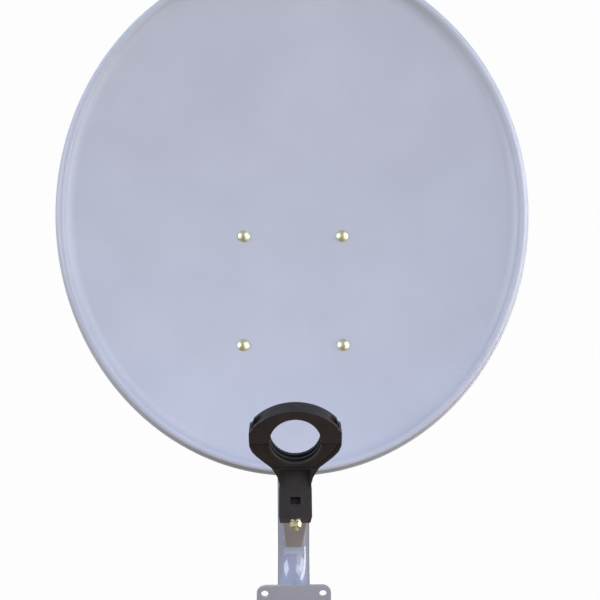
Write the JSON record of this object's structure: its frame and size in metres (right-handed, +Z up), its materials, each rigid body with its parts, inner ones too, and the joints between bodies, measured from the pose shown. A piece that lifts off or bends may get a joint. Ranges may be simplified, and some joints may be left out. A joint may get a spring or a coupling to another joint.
{
  "type": "satellite dish",
  "caption": "Offset satellite dish on a bent wall mast, with an elevation bracket, a feed arm and a ring that clamps the receiver.",
  "frame": {"origin": "centre of the wall plate's wall-side face", "axes": "-Y out of the wall plate's wall-side face and out of the bowl, +Z up along the mast, +X to the right seen from the front"},
  "size_m": [0.612, 0.5243, 0.9881],
  "materials": {
    "dish_paint": "satin light blue-grey powder coat on pressed steel",
    "mast_paint": "glossy light grey paint on steel tube",
    "plate_paint": "satin grey paint on steel plate",
    "bracket_paint": "satin grey powder coat on pressed steel",
    "arm_paint": "satin grey paint on square steel tube",
    "saddle_zinc": "clear zinc plate on pressed steel",
    "yellow_zinc": "yellow passivated zinc plate",
    "holder_plastic": "matte black glass-filled nylon",
    "cap_plastic": "matte black polyethylene"
  },
  "bodies": {
    "mount": {"wall_plate": "plate_paint", "plate_weld": "plate_paint", "mast_tube": "mast_paint", "mast_cap": "cap_plastic"},
    "head": {"tilt_bracket": "bracket_paint", "mast_saddle": "saddle_zinc", "u_bolts": "yellow_zinc", "u_bolt_washers": "yellow_zinc", "u_bolt_nuts": "yellow_zinc", "tilt_bolt": "yellow_zinc", "tilt_washers": "yellow_zinc", "tilt_nut": "yellow_zinc", "lock_bolts": "yellow_zinc", "lock_washers": "yellow_zinc", "lock_nuts": "yellow_zinc"},
    "dish": {"reflector": "dish_paint", "reflector_bolts": "yellow_zinc", "reflector_washers": "yellow_zinc", "reflector_nuts": "yellow_zinc", "back_bracket": "bracket_paint", "arm_support": "bracket_paint", "support_bolts": "yellow_zinc", "support_washers": "yellow_zinc", "support_nuts": "yellow_zinc", "feed_arm": "arm_paint", "arm_rivet": "bracket_paint", "lnb_holder_body": "holder_plastic", "lnb_clamp_nuts": "yellow_zinc", "holder_bolt": "yellow_zinc", "holder_washer": "yellow_zinc", "holder_nut": "yellow_zinc"},
    "ring_cap": {"lnb_clamp_cap": "holder_plastic", "lnb_clamp_screws": "yellow_zinc"}
  },
  "joints": [
    {"name": "azimuth", "type": "hinge", "parent": "mount", "child": "head", "pos_m": [0, 0.1, 0.456], "axis": [0, 0, 1], "continuous": true},
    {"name": "elevation", "type": "hinge", "parent": "head", "child": "dish", "pos_m": [0, 0.046, 0.448], "axis": [-1, 0, 0], "range_deg": [-25, 22]},
    {"name": "ring_open", "type": "slide", "parent": "dish", "child": "ring_cap", "axis": [0, -0.1908, 0.9816], "range_m": [0, 0.003]}
  ]
}
